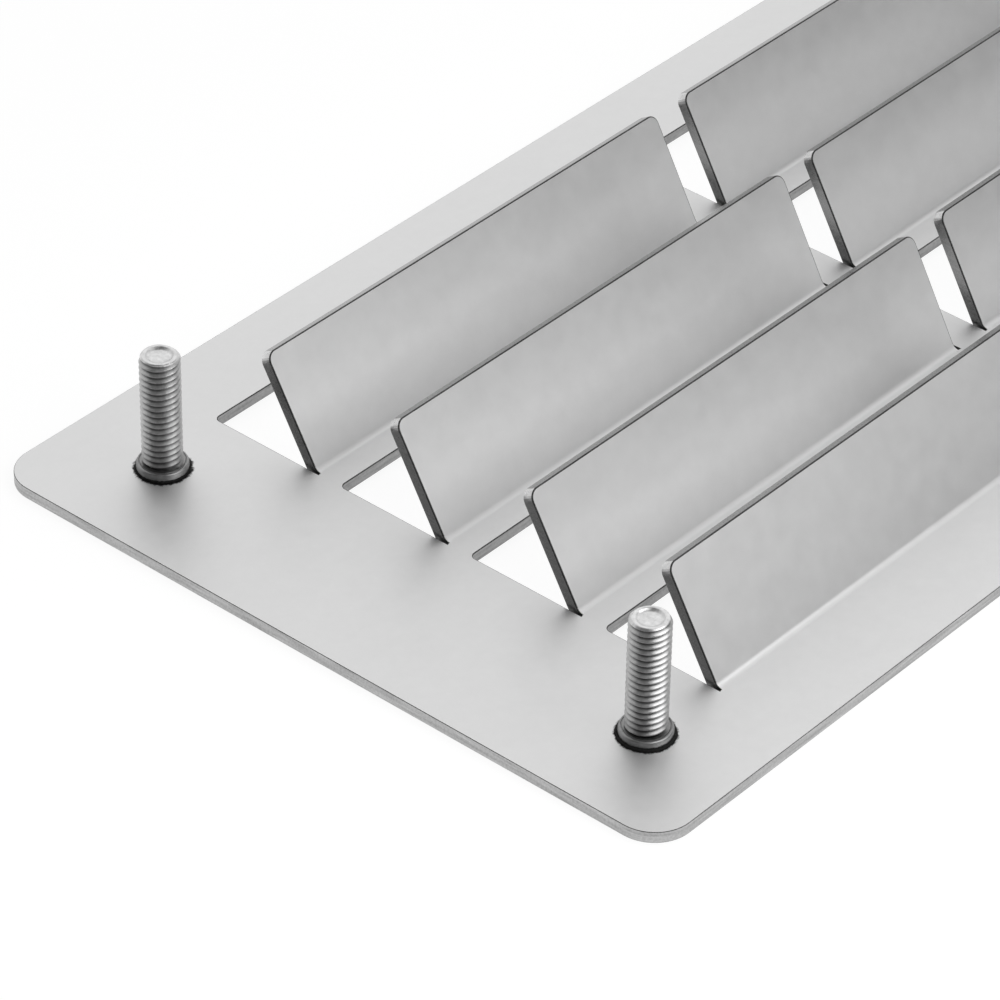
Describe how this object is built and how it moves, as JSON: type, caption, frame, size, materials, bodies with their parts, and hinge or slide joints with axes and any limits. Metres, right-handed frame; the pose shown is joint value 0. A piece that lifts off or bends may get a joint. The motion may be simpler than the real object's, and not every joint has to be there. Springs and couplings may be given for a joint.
{
  "type": "plinth vent grille",
  "caption": "Flat sheet-steel plinth grille with rows of louvres cut and bent up from the plate, and threaded weld studs on its back to fasten it behind a panel.",
  "frame": {"origin": "middle of the show face, on the surface the grille lies on", "axes": "+X along the grille, +Y across it from the fold side of the louvres to their free side, +Z out of the back, along the studs"},
  "size_m": [0.5, 0.1, 0.0175],
  "materials": {
    "satin_sheet": "satin stainless sheet with bare cut edges",
    "stud_steel": "rolled stainless thread, dark at the weld"
  },
  "bodies": {
    "root": {"grille_plate": "satin_sheet", "weld_stud_1": "stud_steel", "weld_stud_2": "stud_steel", "weld_stud_3": "stud_steel", "weld_stud_4": "stud_steel"}
  },
  "joints": []
}
